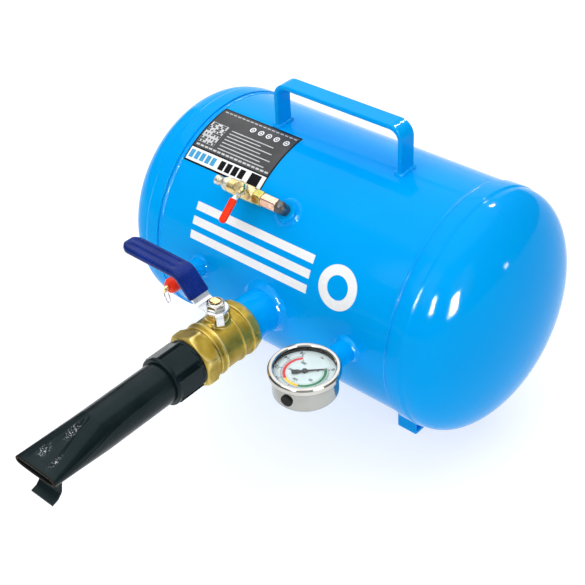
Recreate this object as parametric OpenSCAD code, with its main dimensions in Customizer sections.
// Bead seater blaster tank: a small air receiver with a quick-opening ball
// valve and a flat-mouthed barrel that blows a tubeless tyre onto its rim.
// X runs along the tank, the barrel points to -Y, +Z is up. The origin is
// under the middle of the outline, on the surface that the feet stand on.

/* [Tank] */
// Outer diameter of the rolled shell
tank_d = 250; // [248:1:252]
// Length of shell showing between the two heads
shell_len = 302; // [280:1:340]
// Wall of the rolled shell
shell_wall = 3; // [2:0.5:3.5]
// Wall of the dished heads
head_wall = 2; // [1.5:0.5:3]
// Straight flange of a head, lapped over the shell
flange_len = 17; // [14:1:24]
// Depth of the dish beyond its flange
head_depth = 61; // [50:1:64]
// Height of the tank axis above the floor
axis_h = 152; // [146:1:160]

/* [Handle and feet] */
// Outer length of the carrying handle
handle_span = 160; // [130:1:200]
// Height of the handle above the shell
handle_rise = 49; // [40:1:60]
// Width of the handle bar
handle_w = 20; // [16:1:24]
// Thickness of the handle bar
handle_t = 5; // [4:0.5:6]
// Outer radius of the handle's bends
handle_bend = 15; // [10:1:20]
// Distance from the tank's middle to the middle of each foot
foot_x = 122; // [100:1:130]
// Outer width of a foot from leg to leg
foot_span = 106; // [96:1:120]
// Width of the foot strip
foot_w = 22; // [18:1:28]
// Thickness of the foot strip
foot_t = 4; // [3:0.5:5]
// Outer radius of the foot's bends
foot_bend = 5.5; // [5:0.5:14]

/* [Outlet valve] */
// Distance from the tank axis to the valve's stem
stem_y = 190; // [188:1:192]
// Radius of the flow bore in the valve's ends
flow_r = 16; // [14:0.5:17]
// Radius of the pipe threads at the outlet
pipe_thread_r = 20.9; // [20.5:0.1:21]
// Width across the flats of the valve's hexagons
valve_af = 52; // [50:1:54]
// Radius of the valve's round body
valve_r = 26.7; // [26.3:0.1:27.3]
// Radius of the valve ball
ball_r = 22.4; // [22:0.1:22.6]
// Bore of the valve ball
ball_bore_r = 14.5; // [13:0.5:15]
// Reach of the lever from the stem to the end of its grip
lever_reach = 118; // [100:1:130]
// Width of the lever strip
lever_w = 20; // [18:1:22]
// Height of the grip's middle above the valve axis
grip_z = 64.5; // [58:0.5:70]

/* [Barrel] */
// Outer diameter of the barrel tube
barrel_d = 42.4; // [41.5:0.1:43]
// Wall of the barrel tube
barrel_wall = 3; // [2.5:0.1:3.4]
// Distance from the tank axis to the mouth
mouth_y = 414; // [400:1:430]
// Distance from the tank axis to where the tube starts to flatten
flatten_y = 348; // [335:1:355]
// Width of the flattened mouth
mouth_w = 53; // [48:1:56]
// Sideways place of the middle of the mouth
mouth_x = -2.6; // [-3:0.1:0]
// Height of the flattened mouth
mouth_h = 11; // [10:0.5:14]
// Width of the rim hook
hook_w = 28; // [20:1:34]

/* [Gauge] */
// Sideways place of the gauge and its boss
gauge_x = 104; // [95:1:112]
// Distance from the tank axis to the gauge's middle
gauge_y = 185; // [183:1:190]
// Outer diameter of the bezel
bezel_d = 68; // [67:0.5:70]
// Outer diameter of the gauge case
case_d = 62; // [61:0.5:63]

/* [Air inlet] */
// Angle of the inlet boss above the front of the tank
inlet_angle = 47; // [40:1:52]
// Sideways place of the inlet boss
inlet_x = 1.5; // [0:0.5:12]
// Distance from the tank axis to the line of inlet fittings
chain_r = 140; // [139:0.5:144]
// Sideways place of the inlet valve's stem
inlet_stem_x = -41; // [-43:1:-40]
// Reach of the inlet lever
inlet_reach = 38; // [30:1:42]

/* [Relief valve] */
// Sideways place of the relief valve
relief_x = -88; // [-100:1:-80]
// Height of the relief valve above the tank axis
relief_z = 11; // [0:1:14]
// Lift of the relief valve's stem when its ring is pulled
relief_lift = 3; // [2:0.5:3.5]
// Mean radius of the pull ring
ring_r = 8; // [7:0.5:10]

/* [Hidden] */
$fn = 64;

tank_blue = "#1296ec";
brass = "#b08a3a";
nickel = "#c9ccce";
steel_grey = "#5d5f63";
barrel_black = "#24282a";
ptfe = "#f2f2ee";

tank_r = tank_d / 2;
shell_r = tank_r - shell_wall;
head_r = tank_r + head_wall;
seam_x = shell_len / 2;
lap_x = seam_x + flange_len;
shell_end = lap_x - 2;
joggle = 1.3;
dish_x = lap_x + 1.5;
dish_depth = head_depth - 1.5;
hook_tip_y = mouth_y + 2;
// The outline runs from the hook's tip to the back of the head flanges
tank_y = (hook_tip_y - head_r) / 2;

// Stations along the outlet, measured from the tank axis
neck_r = 23;
neck_start = 117;
valve_back = 158;
neck_thread = 14;
thread_len = 17;
rear_seat_y = stem_y - 15;
cavity_r = 24;
end_cap_y = stem_y + 15.2;
valve_front = 232;
socket_front = 268;
seat_r = 21.5;
seat_gap = 0.2;
run_gap = 0.05;

// Heights above the outlet axis
stem_r = 5;
neck_top = 33;
lever_z = 37;
lever_t = 3;
nut_h = 7;
flat_half = 3.6;

// Gauge heights above the tank axis
case_bottom = -9.6;
lens_z = 15.9;
lens_t = 2;
dial_z = 10.9;
face_z = 19.5;
fill_turn = 9;
fill_z = 2.2;

// Stations along the inlet fittings, measured along X
coupling_x0 = -1.5;
adapter_x0 = -20;
inlet_valve_x0 = -30;
plug_x0 = -63.5;
plug_x1 = -83;
inlet_ball_r = 5.4;
inlet_body_r = 8.7;
inlet_lever_z = 11.5;
inlet_lever_t = 1.6;
inlet_lever_w = 6.4;

// Stations along the relief valve, measured from the tank axis
relief_seat = 142;
relief_cap_y = 156;
relief_cap_end = 171;
relief_cap_r = 8.1;
relief_eye = 174.5;
ring_twist = 20;

// ---- helpers -------------------------------------------------------------

module on_tank() {
    translate([0, tank_y, axis_h]) children();
}

// Local +Z points forward to -Y, local +Y points up
module forward() {
    rotate([90, 0, 0]) children();
}

module rod_x(r, x0, x1) {
    translate([x0, 0, 0]) rotate([0, 90, 0]) cylinder(r = r, h = x1 - x0);
}

module rod_y(r, y0, y1) {
    forward() translate([0, 0, y0]) cylinder(r = r, h = y1 - y0);
}

module rod_z(r, z0, z1) {
    translate([0, 0, z0]) cylinder(r = r, h = z1 - z0);
}

module tank_skin() {
    rod_x(tank_r, -lap_x, lap_x, $fn = 180);
}

// Local +Z is radial at the inlet, local +Y is tangential and upward
module at_inlet() {
    rotate([90 - inlet_angle, 0, 0]) children();
}

// Polygon of a strip of even thickness along a bent line, with mitred bends
function unit(v) = v / norm(v);
function left_of(v) = [-v[1], v[0]];
function mitre(p, i, t) =
    i == 0 ? left_of(unit(p[1] - p[0])) * t / 2 :
    i == len(p) - 1 ? left_of(unit(p[i] - p[i - 1])) * t / 2 :
    let (a = left_of(unit(p[i] - p[i - 1])), b = left_of(unit(p[i + 1] - p[i])), m = unit(a + b))
    m * t / 2 / (m * a);
module bent_strip(p, t) {
    last = len(p) - 1;
    near = [for (i = [0:last]) p[i] + mitre(p, i, t)];
    far = [for (i = [last:-1:0]) p[i] - mitre(p, i, t)];
    polygon(concat(near, far));
}

// Portal of bar: flat top, two rounded corners, open below
module portal(span, height, t, bend) {
    difference() {
        rounded_block(span, height, bend);
        translate([0, -1]) rounded_block(span - 2 * t, height - t + 1, bend - t);
    }
}
module rounded_block(w, h, r) {
    translate([-w / 2, 0]) square([w, h - r]);
    translate([r - w / 2, h - r - 0.5]) square([w - 2 * r, r + 0.5]);
    translate([r - w / 2, h - r]) circle(r);
    translate([w / 2 - r, h - r]) circle(r);
}

// Hexagon of a given width across flats, with its corners turned off
module hex_nut(af, h, chamfer = 0.8) {
    corner = af / sqrt(3);
    intersection() {
        cylinder(r = corner, h = h, $fn = 6);
        union() {
            cylinder(r1 = corner - chamfer * 1.4, r2 = corner + 0.1, h = chamfer);
            translate([0, 0, chamfer]) cylinder(r = corner + 0.1, h = h - 2 * chamfer);
            translate([0, 0, h - chamfer])
                cylinder(r1 = corner + 0.1, r2 = corner - chamfer * 1.4, h = chamfer);
        }
    }
}

// ---- tank ----------------------------------------------------------------

module tank_shell() {
    color(tank_blue) on_tank() difference() {
        rod_x(tank_r, -shell_end, shell_end);
        rod_x(shell_r, -shell_end - 1, shell_end + 1);
        rod_y(neck_r, 100, 140);
        translate([gauge_x, 0, 0]) rod_y(5, 100, 140);
        translate([relief_x, 0, relief_z]) rod_y(4, 100, 140);
        at_inlet() translate([inlet_x, 0, 100]) cylinder(r = 4, h = 40);
        translate([0, 0, -140]) cylinder(r = 5, h = 40);
    }
}

// Quarter ellipse from the joggle to the crown of a dished head
function dish(r, depth, n) = [for (i = [0:n]) [r * cos(90 * i / n), dish_x + depth * sin(90 * i / n)]];
module head() {
    outer = dish(head_r - joggle, dish_depth, 20);
    inner = dish(tank_r - joggle, dish_depth - head_wall, 20);
    last = len(inner) - 1;
    rotate([0, 90, 0]) rotate_extrude($fn = 96) polygon(concat(
        [[tank_r, seam_x], [head_r, seam_x], [head_r, lap_x - 2.6]], outer,
        [for (i = [last:-1:0]) inner[i]], [[tank_r, lap_x - 2]]));
}
module head_right() {
    color(tank_blue) on_tank() head();
}
module head_left() {
    color(tank_blue) on_tank() rotate([0, 0, 180]) head();
}

module seam_welds() {
    color(tank_blue) on_tank() for (side = [0, 180]) rotate([0, side, 0]) rotate([0, 90, 0])
        rotate_extrude($fn = 96) polygon([
            [tank_r, seam_x - 3.4], [tank_r + 0.9, seam_x - 2.6], [tank_r + 1.7, seam_x - 1.2],
            [head_r, seam_x], [tank_r, seam_x]]);
}

// ---- handle and feet -----------------------------------------------------

module carry_handle() {
    color(tank_blue) on_tank() difference() {
        translate([0, handle_w / 2, 100]) forward() linear_extrude(handle_w)
            portal(handle_span, tank_r + handle_rise - 100, handle_t, handle_bend);
        tank_skin();
    }
}

// Straight bead along X, on the tank's surface
module straight_bead(x0, x1, angle, r) {
    rotate([angle, 0, 0]) translate([0, 0, tank_r]) rod_x(r, x0, x1, $fn = 24);
}

module handle_welds() {
    leg = handle_span / 2 - handle_t / 2;
    bead = 2.6;
    color(tank_blue) on_tank() for (s = [-1, 1]) difference() {
        union() {
            for (x = [leg - handle_t / 2, leg + handle_t / 2])
                translate([s * x, 0, tank_r - 0.2]) rod_y(bead, -handle_w / 2 - 1, handle_w / 2 + 1, $fn = 32);
            for (y = [-handle_w / 2, handle_w / 2])
                translate([s * leg, y, tank_r - 0.4])
                    rod_x(bead - 0.1, -handle_t / 2 - 1, handle_t / 2 + 1, $fn = 32);
        }
        tank_skin();
        translate([s * leg, 0, tank_r]) cube([handle_t, handle_w, 40], center = true);
    }
}

module foot(x) {
    translate([x + foot_w / 2, 0, 0]) rotate([90, 0, -90]) difference() {
        linear_extrude(foot_w) translate([0, -axis_h]) mirror([0, 1])
            translate([0, -axis_h + 100]) portal(foot_span, axis_h - 100, foot_t, foot_bend);
        translate([0, 0, -1]) cylinder(r = tank_r, h = foot_w + 2, $fn = 180);
    }
}
module foot_left() {
    color(tank_blue) on_tank() foot(-foot_x);
}
module foot_right() {
    color(tank_blue) on_tank() foot(foot_x);
}

module foot_welds() {
    leg_angle = asin((foot_span / 2) / tank_r);
    color(tank_blue) on_tank() for (x = [-foot_x, foot_x], s = [-1, 1]) difference() {
        straight_bead(x - foot_w / 2, x + foot_w / 2, 180 + s * leg_angle, 3);
        tank_skin();
        translate([x, s * (foot_span / 2 - 15), -tank_r]) cube([foot_w + 2, 30, 60], center = true);
    }
}

// ---- ports ---------------------------------------------------------------

module outlet_neck() {
    color(tank_blue) on_tank() difference() {
        union() {
            rod_y(neck_r, neck_start, valve_back);
            rod_y(pipe_thread_r, valve_back, valve_back + neck_thread);
        }
        rod_y(flow_r, neck_start - 1, valve_back + neck_thread + 1);
    }
}

module boss(r, top, bore) {
    difference() {
        rod_z(r, tank_r - 6, top);
        rod_z(bore, tank_r - 7, top + 1);
    }
}
module gauge_boss() {
    color(tank_blue) on_tank() difference() {
        translate([gauge_x, 0, 0]) forward() boss(11.5, 148, 6.5);
        tank_skin();
    }
}
module inlet_boss() {
    color(tank_blue) on_tank() difference() {
        at_inlet() translate([inlet_x, 0, 0]) boss(11, 131, 4.9);
        tank_skin();
    }
}
module relief_boss() {
    color(tank_blue) on_tank() difference() {
        translate([relief_x, 0, relief_z]) forward() boss(10, 141, 5);
        tank_skin();
    }
}
module drain_boss() {
    color(tank_blue) on_tank() difference() {
        mirror([0, 0, 1]) boss(10.5, 132, 6.5);
        tank_skin();
    }
}

// Fillet of weld around a round boss of radius r
module fillet(r, leg) {
    difference() {
        translate([0, 0, tank_r - 5]) cylinder(r1 = r + leg + 3, r2 = r, h = leg + 5);
        rod_z(r, tank_r - 6, tank_r + leg + 1);
    }
}
module port_welds() {
    color(tank_blue) on_tank() difference() {
        union() {
            forward() fillet(neck_r, 7);
            translate([gauge_x, 0, 0]) forward() fillet(11.5, 3.5);
            translate([relief_x, 0, relief_z]) forward() fillet(10, 3);
            at_inlet() translate([inlet_x, 0, 0]) fillet(11, 4);
            mirror([0, 0, 1]) fillet(10.5, 3);
        }
        tank_skin();
    }
}

module drain_plug() {
    color(nickel) on_tank() mirror([0, 0, 1]) {
        rod_z(6.5, 126.5, 132);
        translate([0, 0, 132]) hex_nut(17, 7);
    }
}

// ---- outlet ball valve ---------------------------------------------------

module valve_body() {
    color(brass) on_tank() difference() {
        union() {
            rod_y(valve_r + 1.7, valve_back, valve_back + 11);
            rod_y(valve_r + 0.3, valve_back + 11, valve_back + 23.2);
            rod_y(valve_r + 1.2, valve_back + 23.2, valve_back + 25.2);
            rod_y(valve_r, valve_back + 25.2, end_cap_y);
            translate([0, -stem_y, 0]) rod_z(11, 20, neck_top - 3);
            translate([0, -stem_y, 0]) rod_z(10, neck_top - 3, neck_top);
            translate([0, -stem_y, 0]) for (a = [-60.5, 86.5]) rotate([0, 0, a])
                translate([9, -1.8, 20]) cube([7, 3.6, 12]);
        }
        rod_y(pipe_thread_r, valve_back - 1, valve_back + neck_thread);
        rod_y(flow_r, valve_back, stem_y);
        rod_y(cavity_r, rear_seat_y - 3, end_cap_y + 1);
        translate([0, -stem_y, 0]) rod_z(7.5, 15, 27);
        translate([0, -stem_y, 0]) rod_z(stem_r + run_gap, 15, neck_top + 1);
        translate([0, -stem_y, 0]) rod_z(8, 29.5, neck_top + 1);
    }
}

module valve_end() {
    color(brass) on_tank() difference() {
        union() {
            rod_y(cavity_r, end_cap_y - 3, end_cap_y);
            rod_y(valve_r + 1.2, end_cap_y, end_cap_y + 3);
            rod_y(valve_r + 0.3, end_cap_y + 3, end_cap_y + 8.2);
            rod_y(valve_r - 0.8, end_cap_y + 8.2, end_cap_y + 9.4);
            forward() translate([0, 0, end_cap_y + 9.4]) rotate([0, 0, 22])
                hex_nut(valve_af, valve_front - end_cap_y - 9.4, 1.2);
        }
        rod_y(flow_r, end_cap_y - 4, valve_front + 1);
        rod_y(pipe_thread_r, valve_front - thread_len, valve_front + 1);
        rod_y(seat_r, end_cap_y - 4, end_cap_y + 2);
    }
}

module valve_seats() {
    color(ptfe) on_tank() for (side = [-1, 1]) translate([0, -stem_y, 0]) difference() {
        rotate([90 * side, 0, 0]) translate([0, 0, 11]) difference() {
            cylinder(r = seat_r, h = side < 0 ? 7 : 6.2);
            translate([0, 0, -1]) cylinder(r = ball_bore_r + 0.5, h = 9);
        }
        sphere(r = ball_r + seat_gap);
    }
}

module valve_ball() {
    color(nickel) on_tank() translate([0, -stem_y, 0]) difference() {
        sphere(r = ball_r);
        rod_x(ball_bore_r, -30, 30);
        translate([-3, -30, 17]) cube([6, 60, 10]);
    }
}

module valve_stem() {
    color(brass) on_tank() translate([0, -stem_y, 0]) {
        intersection() {
            translate([-2.9, -8, 17.2]) cube([5.8, 16, 6.8]);
            rod_z(7.3, 17, 24);
        }
        rod_z(7.4, 24, 26.8);
        rod_z(stem_r, 26.8, lever_z);
        intersection() {
            rod_z(stem_r, lever_z, lever_z + lever_t + nut_h + 1);
            translate([-stem_r, -flat_half, lever_z]) cube([2 * stem_r, 2 * flat_half, 20]);
        }
    }
}

module stem_packing() {
    color(ptfe) on_tank() translate([0, -stem_y, 0]) difference() {
        rod_z(8, 29.5, 32);
        rod_z(stem_r + run_gap, 29, 33);
    }
}

module gland_nut() {
    color(brass) on_tank() translate([0, -stem_y, 0]) difference() {
        union() {
            rod_z(8, 32, neck_top);
            translate([0, 0, neck_top]) hex_nut(18, 3.5, 0.6);
        }
        rod_z(stem_r + run_gap, 31, lever_z);
    }
}

lever_line = [
    [11, lever_z + lever_t / 2], [-17, lever_z + lever_t / 2],
    [-39.5, grip_z - 0.5], [4 - lever_reach, grip_z]];

module lever_solid() {
    difference() {
        union() {
            translate([0, lever_w / 2, 0]) forward() linear_extrude(lever_w) bent_strip(lever_line, lever_t);
            rod_z(12, lever_z, lever_z + lever_t);
            rotate([0, 0, -32]) translate([12, -4, lever_z - 9]) cube([3, 8, 9 + lever_t]);
            rotate([0, 0, -32]) translate([5, -4, lever_z]) cube([8, 8, lever_t]);
        }
        intersection() {
            rod_z(stem_r, 30, 50);
            translate([-stem_r, -flat_half, 30]) cube([2 * stem_r, 2 * flat_half, 20]);
        }
    }
}
module valve_lever() {
    color("silver") on_tank() translate([0, -stem_y, 0]) lever_solid();
}

module lever_sleeve() {
    slope = unit(lever_line[2] - lever_line[1]);
    start = lever_line[1] + slope * 7;
    end = [-lever_reach, grip_z];
    sleeve_w = lever_w + 4;
    color("navy") on_tank() translate([0, -stem_y, 0]) difference() {
        intersection() {
            translate([0, sleeve_w / 2, 0]) forward() linear_extrude(sleeve_w)
                bent_strip([start, lever_line[2], end], 8);
            union() {
                translate([sleeve_w / 2 - lever_reach, -sleeve_w / 2, 30])
                    cube([lever_reach, sleeve_w, 60]);
                translate([sleeve_w / 2 - lever_reach, 0, 30]) cylinder(r = sleeve_w / 2, h = 60);
            }
        }
        translate([0, lever_w / 2, 0]) forward() linear_extrude(lever_w) bent_strip(lever_line, lever_t);
        for (s = [-6.5, 0, 6.5])
            translate([-lever_reach + 14, s - 0.9, grip_z + 3.2]) cube([62, 1.8, 3]);
    }
}

module lever_nut() {
    color(nickel) on_tank() translate([0, -stem_y, lever_z + lever_t]) difference() {
        hex_nut(17, nut_h);
        translate([0, 0, -1]) cylinder(r = stem_r, h = nut_h + 2);
    }
}

// ---- barrel --------------------------------------------------------------

module close_nipple() {
    color(steel_grey) on_tank() difference() {
        rod_y(pipe_thread_r, valve_front - thread_len + 1, valve_front + 16);
        rod_y(flow_r, valve_front - thread_len, valve_front + 17);
    }
}

module barrel_socket() {
    color(barrel_black) on_tank() difference() {
        union() {
            rod_y(23.2, valve_front, socket_front);
            rod_y(25.2, socket_front - 4.5, socket_front);
            rod_y(25, valve_front, valve_front + 4);
            for (a = [2:60:302]) forward() rotate([0, 0, a])
                translate([18, -10.9, valve_front]) cube([5.9, 21.8, socket_front - valve_front - 2]);
        }
        rod_y(pipe_thread_r, valve_front - 1, valve_front + 16);
        rod_y(barrel_d / 2 - barrel_wall, valve_front, socket_front);
        rod_y(barrel_d / 2, valve_front + 18, socket_front + 1);
    }
}

// Flat oval, w wide and h high
module oval(w, h) {
    square([w - h, h], center = true);
    for (s = [-1, 1]) translate([s * (w - h) / 2, 0]) circle(h / 2);
}
module barrel_form(shrink, extra) {
    rod_y(barrel_d / 2 - shrink, valve_front + 18 - extra, flatten_y);
    forward() hull() {
        translate([0, 0, flatten_y]) linear_extrude(0.01) circle(barrel_d / 2 - shrink, $fn = 32);
        translate([0, 0, mouth_y + extra - 0.01]) linear_extrude(0.01)
            translate([mouth_x, 0]) oval(mouth_w - 2 * shrink, mouth_h - 2 * shrink, $fn = 32);
    }
}
module barrel() {
    color(barrel_black) on_tank() difference() {
        barrel_form(0, 0);
        barrel_form(barrel_wall, 1);
    }
}

module rim_hook() {
    hook_line = [[399, -6], [402, -16], [404.5, -23], [408.5, -27.6], [hook_tip_y - 0.6, -30]];
    color(barrel_black) on_tank() difference() {
        translate([-hook_w / 2, 0, 0]) rotate([90, 0, -90]) mirror([0, 0, 1]) linear_extrude(hook_w)
            bent_strip(hook_line, 3.2);
        barrel_form(0, 0);
    }
}

// ---- gauge ---------------------------------------------------------------

module on_gauge() {
    on_tank() translate([gauge_x, -gauge_y, 0]) children();
}

module gauge_case() {
    color("silver") on_gauge() difference() {
        rod_z(case_d / 2, case_bottom, lens_z);
        rod_z(case_d / 2 - 1, case_bottom + 1, lens_z + 1);
        rotate([0, 0, 180]) rod_y(6, 20, 40);
        rotate([0, 0, fill_turn]) translate([0, 0, fill_z]) rod_y(5, 20, 40);
    }
}

module gauge_bezel() {
    half = bezel_d / 2;
    inside = case_d / 2;
    color("silver") on_gauge() rotate_extrude() polygon([
        [inside, 12.3], [half - 1, 12.3], [half, 13.5], [half, face_z - 1.8], [half - 1.6, face_z],
        [inside - 1.4, face_z], [inside - 2.6, lens_z + lens_t], [inside, lens_z + lens_t]]);
}

module gauge_lens() {
    color("lightcyan", 0.4) on_gauge() rod_z(case_d / 2, lens_z, lens_z + lens_t);
}

module gauge_dial() {
    color("white") on_gauge() {
        difference() {
            rod_z(case_d / 2 - 1, dial_z, dial_z + 0.8);
            rod_z(2, dial_z - 1, dial_z + 2);
        }
        rotate([0, 0, 49]) translate([20, 0, 0]) rod_z(0.5, dial_z + 0.8, dial_z + 3);
    }
}

module gauge_pointer() {
    color("black") on_gauge() {
        rod_z(1.2, -2.5, dial_z + 3.4);
        rod_z(2.6, dial_z + 1.8, dial_z + 3.4);
        rotate([0, 0, 45]) translate([0, 0, dial_z + 2]) linear_extrude(0.6)
            polygon([[0, -1.1], [20, -0.35], [20, 0.35], [0, 1.1], [-4, 1.1], [-6, 2.4],
                [-12, 2.4], [-12, -2.4], [-6, -2.4], [-4, -1.1]]);
    }
}

module gauge_stem() {
    back = gauge_y - 137;
    color(brass) on_gauge() rotate([0, 0, 180]) {
        rod_y(6.5, gauge_y - 148, back);
        forward() translate([0, 0, gauge_y - 153]) hex_nut(14, 5);
        rod_y(6, 24, gauge_y - 153);
        translate([-5, -24, -4]) cube([10, 6, 8]);
    }
}

module bourdon_tube() {
    color(brass) on_gauge() rotate([0, 0, 90 + asin(5 / 19.2)]) rotate_extrude(angle = 250)
        translate([20, 0]) {
            square([1.6, 5], center = true);
            translate([0, 2.5]) circle(0.8, $fn = 24);
            translate([0, -2.5]) circle(0.8, $fn = 24);
        }
}

module gauge_movement() {
    color(brass) on_gauge() difference() {
        union() {
            translate([-7, -7, -2]) cube([14, 14, 1.4]);
            translate([-7, -7, 4]) cube([14, 14, 1.4]);
            for (x = [-5, 5], y = [-5, 5]) translate([x, y, 0]) rod_z(1.4, -0.6, 4);
            translate([-3, 7, -2]) cube([6, 11, 1.4]);
            translate([-3, 16, -2]) cube([6, 2, 5]);
        }
        rod_z(1.2 + run_gap, -3, 6);
    }
}

module gauge_fill_plug() {
    color("black") on_gauge() rotate([0, 0, fill_turn]) translate([0, 0, fill_z]) difference() {
        union() {
            rod_y(5, case_d / 2 - 2.2, case_d / 2);
            rod_y(5.8, case_d / 2 - 1, case_d / 2 + 2);
        }
        rod_z(case_d / 2 - 2, -20, 20);
        difference() {
            rod_z(case_d / 2, -20, 20);
            rod_z(case_d / 2 - 3, -21, 21);
            rod_y(5, 0, 50);
        }
    }
}

// ---- air inlet -----------------------------------------------------------

module on_chain() {
    on_tank() at_inlet() translate([0, 0, chain_r]) children();
}

module inlet_elbow() {
    leg = chain_r - 131;
    color(steel_grey) on_chain() difference() {
        union() {
            difference() {
                translate([inlet_x, 0, 0]) {
                    sphere(r = 6.4);
                    rod_z(5.8, -leg, 0);
                }
                rod_x(7.7, coupling_x0 - 10, coupling_x0);
            }
            translate([inlet_x, 0, 0]) rod_z(4.9, -leg - 5, -leg);
            rod_x(5.8, coupling_x0, inlet_x);
            rod_x(4.6, coupling_x0 - 8, coupling_x0);
        }
        translate([inlet_x, 0, 0]) rod_z(3, -leg - 6, 0);
        rod_x(3, coupling_x0 - 9, inlet_x);
    }
}

module hex_x(af, x0, x1) {
    translate([x1, 0, 0]) rotate([0, -90, 0]) hex_nut(af, x1 - x0, 0.8);
}

module inlet_coupling() {
    color("#d9a58a") on_chain() difference() {
        hex_x(13, adapter_x0, coupling_x0);
        rod_x(4.6, adapter_x0 - 1, coupling_x0 + 1);
    }
}

module inlet_adapter() {
    color("#b9a53c") on_chain() difference() {
        union() {
            rod_x(4.6, adapter_x0, adapter_x0 + 8);
            hex_x(14.5, inlet_valve_x0, adapter_x0);
            rod_x(6.4, inlet_valve_x0 - 3, inlet_valve_x0);
        }
        rod_x(3, inlet_valve_x0 - 4, adapter_x0 + 9);
    }
}

module inlet_valve_body() {
    color("#d8bd72") on_chain() difference() {
        union() {
            rod_x(7.6, plug_x0, inlet_valve_x0);
            rod_x(inlet_body_r, plug_x0 + 10, inlet_valve_x0 - 2);
            translate([inlet_stem_x, 0, 0]) rod_z(4.6, 0, 10.6);
            translate([inlet_stem_x, 0, 0]) for (a = [14, 170]) rotate([0, 0, a])
                translate([3, -1, 5]) cube([4, 2, 5.4]);
        }
        rod_x(6.4, inlet_stem_x - 6.4, inlet_valve_x0 + 1);
        rod_x(3, plug_x0 - 1, inlet_stem_x);
        rod_x(4.6, plug_x0 - 1, plug_x0 + 9);
        translate([inlet_stem_x, 0, 0]) rod_z(2.2 + run_gap, 0, 12);
    }
}

module inlet_seats() {
    color(ptfe) on_chain() translate([inlet_stem_x, 0, 0]) for (side = [-1, 1]) difference() {
        rotate([0, side * 90, 0]) translate([0, 0, 3]) difference() {
            cylinder(r = 6.3, h = side < 0 ? 3.4 : 5);
            translate([0, 0, -1]) cylinder(r = 3, h = 7);
        }
        sphere(r = inlet_ball_r + 0.15);
    }
}

module inlet_ball() {
    color(nickel) on_chain() translate([inlet_stem_x, 0, 0]) difference() {
        sphere(r = inlet_ball_r);
        rotate([0, 0, 90]) rod_x(2.7, -8, 8);
        translate([-6, -1, 3.6]) cube([12, 2, 4]);
    }
}

module inlet_stem() {
    color(brass) on_chain() translate([inlet_stem_x, 0, 0]) {
        intersection() {
            translate([-2.1, -0.95, 3.7]) cube([4.2, 1.9, 2.3]);
            rod_z(2.1, 3.6, 6);
        }
        rod_z(2.2, 6, inlet_lever_z);
        intersection() {
            rod_z(2.2, inlet_lever_z, inlet_lever_z + 6.4);
            translate([-1.6, -2.2, inlet_lever_z]) cube([3.2, 4.4, 8]);
        }
    }
}

inlet_lever_line = [
    [-5, inlet_lever_z + inlet_lever_t / 2], [8, inlet_lever_z + inlet_lever_t / 2],
    [13, inlet_lever_z + 4], [inlet_reach - 1.5, inlet_lever_z + 5]];

// Strip that points down the tank's side from the stem
module inlet_strip(line, t, w) {
    rotate([90, 0, -90]) translate([0, 0, -w / 2]) linear_extrude(w) bent_strip(line, t);
}
module inlet_lever() {
    color("silver") on_chain() translate([inlet_stem_x, 0, 0]) difference() {
        union() {
            inlet_strip(inlet_lever_line, inlet_lever_t, inlet_lever_w);
            rod_z(5.6, inlet_lever_z, inlet_lever_z + inlet_lever_t);
            rotate([0, 0, 47]) translate([5, -1.6, inlet_lever_z - 2.6]) cube([1.4, 3.2, 2.6 + inlet_lever_t]);
        }
        intersection() {
            rod_z(2.2, 9, 20);
            translate([-1.6, -2.2, 9]) cube([3.2, 4.4, 12]);
        }
    }
}

module inlet_lever_sleeve() {
    sleeve_w = inlet_lever_w + 1.6;
    line = [[13, inlet_lever_z + 4], [inlet_reach, inlet_lever_z + 5.05]];
    color("red") on_chain() translate([inlet_stem_x, 0, 0]) difference() {
        intersection() {
            inlet_strip(line, 4, sleeve_w);
            union() {
                translate([-sleeve_w / 2, -inlet_reach + 3, 0]) cube([sleeve_w, inlet_reach, 30]);
                translate([0, -inlet_reach + sleeve_w / 2, 0]) cylinder(r = sleeve_w / 2, h = 30);
            }
        }
        inlet_strip(inlet_lever_line, inlet_lever_t, inlet_lever_w);
    }
}

module inlet_lever_nut() {
    color(brass) on_chain() translate([inlet_stem_x, 0, inlet_lever_z + inlet_lever_t]) difference() {
        hex_nut(11, 4.4, 0.5);
        translate([0, 0, -1]) cylinder(r = 2.2, h = 7);
    }
}

// Quick-connect plug: the end that a shop's air coupler grips
module air_plug() {
    length = plug_x0 - plug_x1;
    color(nickel) on_chain() translate([plug_x0, 0, 0]) rotate([0, -90, 0]) difference() {
        union() {
            translate([0, 0, -8]) cylinder(r = 4.6, h = 8);
            hex_nut(14, 5);
            translate([0, 0, 5]) cylinder(r = 6.4, h = 3);
            translate([0, 0, 8]) cylinder(r1 = 6.4, r2 = 5, h = 3);
            translate([0, 0, 11]) cylinder(r = 3.9, h = 3);
            translate([0, 0, 14]) cylinder(r = 5, h = length - 14.8);
            translate([0, 0, length - 0.8]) cylinder(r1 = 5, r2 = 4.2, h = 0.8);
        }
        translate([0, 0, -9]) cylinder(r = 2.4, h = length + 10);
    }
}

// ---- relief valve --------------------------------------------------------

module on_relief() {
    on_tank() translate([relief_x, 0, relief_z]) forward() children();
}

module relief_body() {
    color(brass) on_relief() difference() {
        union() {
            rod_z(5, 131, 141);
            translate([0, 0, 141]) hex_nut(14, 7);
            rod_z(6, 148, relief_cap_y + 3);
        }
        rod_z(2.4, 130, relief_seat + 1);
        rod_z(4.4, relief_seat, relief_cap_y + 4);
        for (a = [0, 90]) translate([0, 0, 150]) rotate([0, 90, a]) cylinder(r = 1.2, h = 20, center = true);
    }
}

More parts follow.
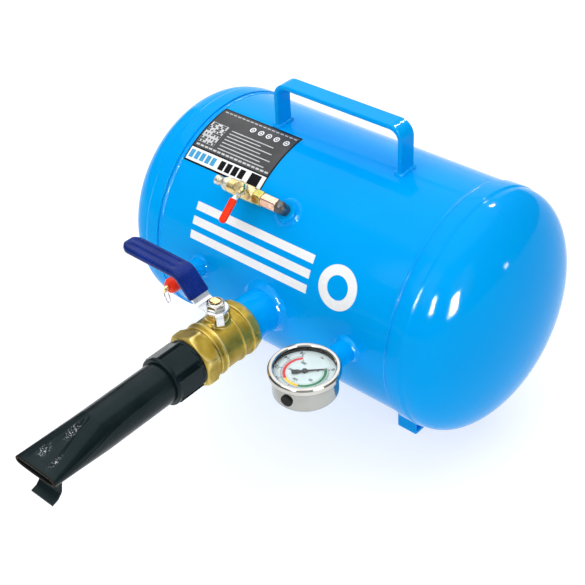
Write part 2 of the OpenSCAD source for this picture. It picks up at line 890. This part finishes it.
module relief_cap() {
    color("red") on_relief() difference() {
        union() {
            rod_z(relief_cap_r, relief_cap_y, relief_cap_end - 3);
            translate([0, 0, relief_cap_end - 3]) cylinder(r1 = relief_cap_r, r2 = relief_cap_r - 1.5, h = 3);
        }
        rod_z(6, relief_cap_y - 1, relief_cap_y + 3);
        rod_z(4.4, relief_cap_y, relief_cap_end - 6);
        rod_z(1.6 + run_gap, relief_cap_y, relief_cap_end + 1);
    }
}

module relief_stem() {
    color(brass) on_relief() difference() {
        union() {
            rod_z(3.9, relief_seat + 0.05, relief_seat + 3);
            rod_z(1.6, relief_seat + 3, relief_cap_end + 0.8);
            intersection() {
                rod_z(3.2, relief_cap_end + 0.8, relief_eye + 3);
                translate([-1.3, -4, relief_cap_end]) cube([2.6, 8, 20]);
            }
        }
        translate([0, 0, relief_eye]) rotate([0, 90 - ring_twist, 0]) cylinder(r = 1.3, h = 20, center = true);
    }
}

// Coil spring between the valve disc and the cap
spring_r = 3;
spring_wire = 0.45;
spring_turns = 7;
spring_z0 = relief_seat + 3.6;
spring_z1 = relief_cap_end - 6.6;
spring_rings = spring_turns * 12;
function coil_point(i, j) =
    let (a = 30 * i, b = 60 * j, r = spring_r + spring_wire * cos(b))
    [r * cos(a), r * sin(a), spring_z0 + (spring_z1 - spring_z0) * i / spring_rings + spring_wire * sin(b)];
module relief_spring() {
    skin = [for (i = [0:spring_rings - 1], j = [0:5])
        [i * 6 + j, i * 6 + (j + 1) % 6, (i + 1) * 6 + (j + 1) % 6, (i + 1) * 6 + j]];
    color(steel_grey) on_relief() polyhedron(
        points = [for (i = [0:spring_rings], j = [0:5]) coil_point(i, j)],
        faces = concat(skin, [[5, 4, 3, 2, 1, 0]], [[for (j = [0:5]) spring_rings * 6 + j]]));
}

module relief_ring() {
    color("silver") on_tank() translate([relief_x, -relief_eye, relief_z]) rotate([0, 0, -ring_twist])
        translate([0, 0, -ring_r]) rotate([90, 0, 0]) rotate_extrude()
            translate([ring_r, 0]) circle(0.6, $fn = 24);
}

// ---- labels --------------------------------------------------------------

// Patch of thin film on the front of the tank between two angles
module film(x0, x1, a0, a1, t) {
    translate([x0, 0, 0]) rotate([180 - a1, 0, 0]) rotate([0, 90, 0]) rotate([0, 0, 90])
        rotate_extrude(angle = a1 - a0, $fn = 180)
            translate([tank_r, 0]) square([t, x1 - x0]);
}

module info_label() {
    color("dimgray") on_tank() film(-146, -40, 50, 84, 0.4);
}

module front_decal() {
    color("white") on_tank() {
        film(-105, 50, 17, 21, 0.3);
        film(-105, 50, 24, 28, 0.3);
        film(-105, 50, 31, 35, 0.3);
        intersection() {
            film(50, 120, 5, 48, 0.3);
            rotate([90 - 26, 0, 0]) translate([84, 0, 100]) difference() {
                cylinder(r = 22, h = 40);
                cylinder(r = 12, h = 90, center = true);
            }
        }
    }
}

tank_shell();
head_left();
head_right();
seam_welds();
carry_handle();
handle_welds();
foot_left();
foot_right();
foot_welds();
outlet_neck();
gauge_boss();
inlet_boss();
relief_boss();
drain_boss();
port_welds();
drain_plug();
valve_body();
valve_end();
valve_seats();
valve_ball();
valve_stem();
stem_packing();
gland_nut();
valve_lever();
lever_sleeve();
lever_nut();
close_nipple();
barrel_socket();
barrel();
rim_hook();
gauge_case();
gauge_bezel();
gauge_lens();
gauge_dial();
gauge_pointer();
gauge_stem();
bourdon_tube();
gauge_movement();
gauge_fill_plug();
inlet_elbow();
inlet_coupling();
inlet_adapter();
inlet_valve_body();
inlet_seats();
inlet_ball();
inlet_stem();
inlet_lever();
inlet_lever_sleeve();
inlet_lever_nut();
air_plug();
relief_body();
relief_cap();
relief_stem();
relief_spring();
relief_ring();
info_label();
front_decal();
